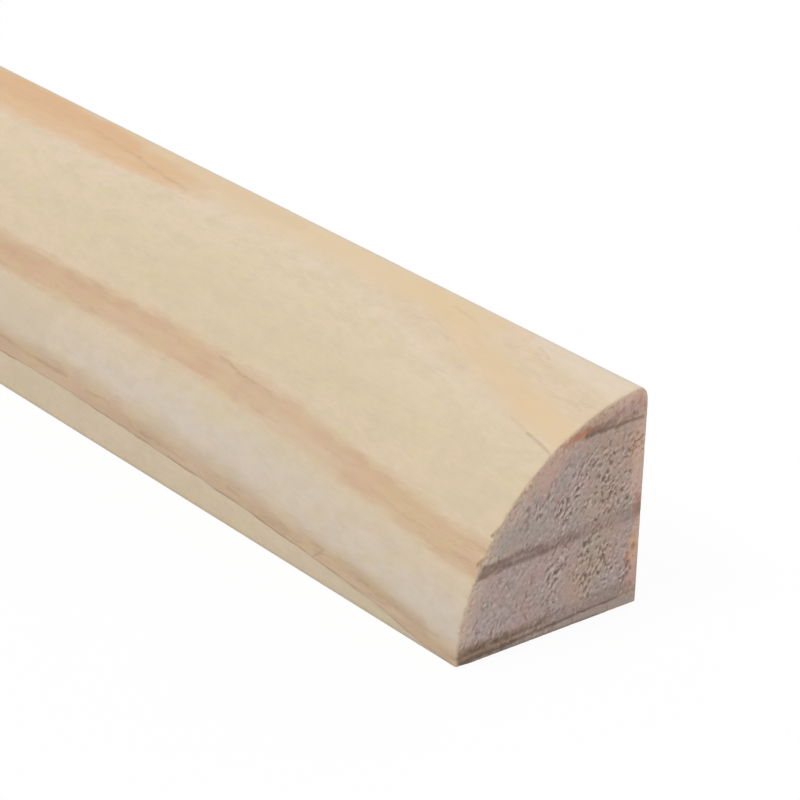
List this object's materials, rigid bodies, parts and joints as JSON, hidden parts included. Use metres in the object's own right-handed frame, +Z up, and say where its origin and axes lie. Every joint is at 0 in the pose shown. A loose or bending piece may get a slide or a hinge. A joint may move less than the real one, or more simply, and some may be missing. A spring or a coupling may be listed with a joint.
{
  "type": "quarter round moulding",
  "caption": "Straight length of planed pine trim with a quarter round section: a convex face, and two flat faces that meet in a square heel, for the corner between a floor and a wall.",
  "frame": {"origin": "middle of the stick's footprint: halfway along its length and halfway between its front tip and its back face, on the flat bottom face", "axes": "+X along the length, to the sawn end that the picture shows; +Y back to the wall, square to the flat back face; +Z up from the flat bottom face"},
  "size_m": [2.438, 0.0188, 0.019],
  "materials": {
    "pine": "planed, bare"
  },
  "bodies": {
    "root": {"quarter_round_moulding": "pine"}
  },
  "joints": []
}
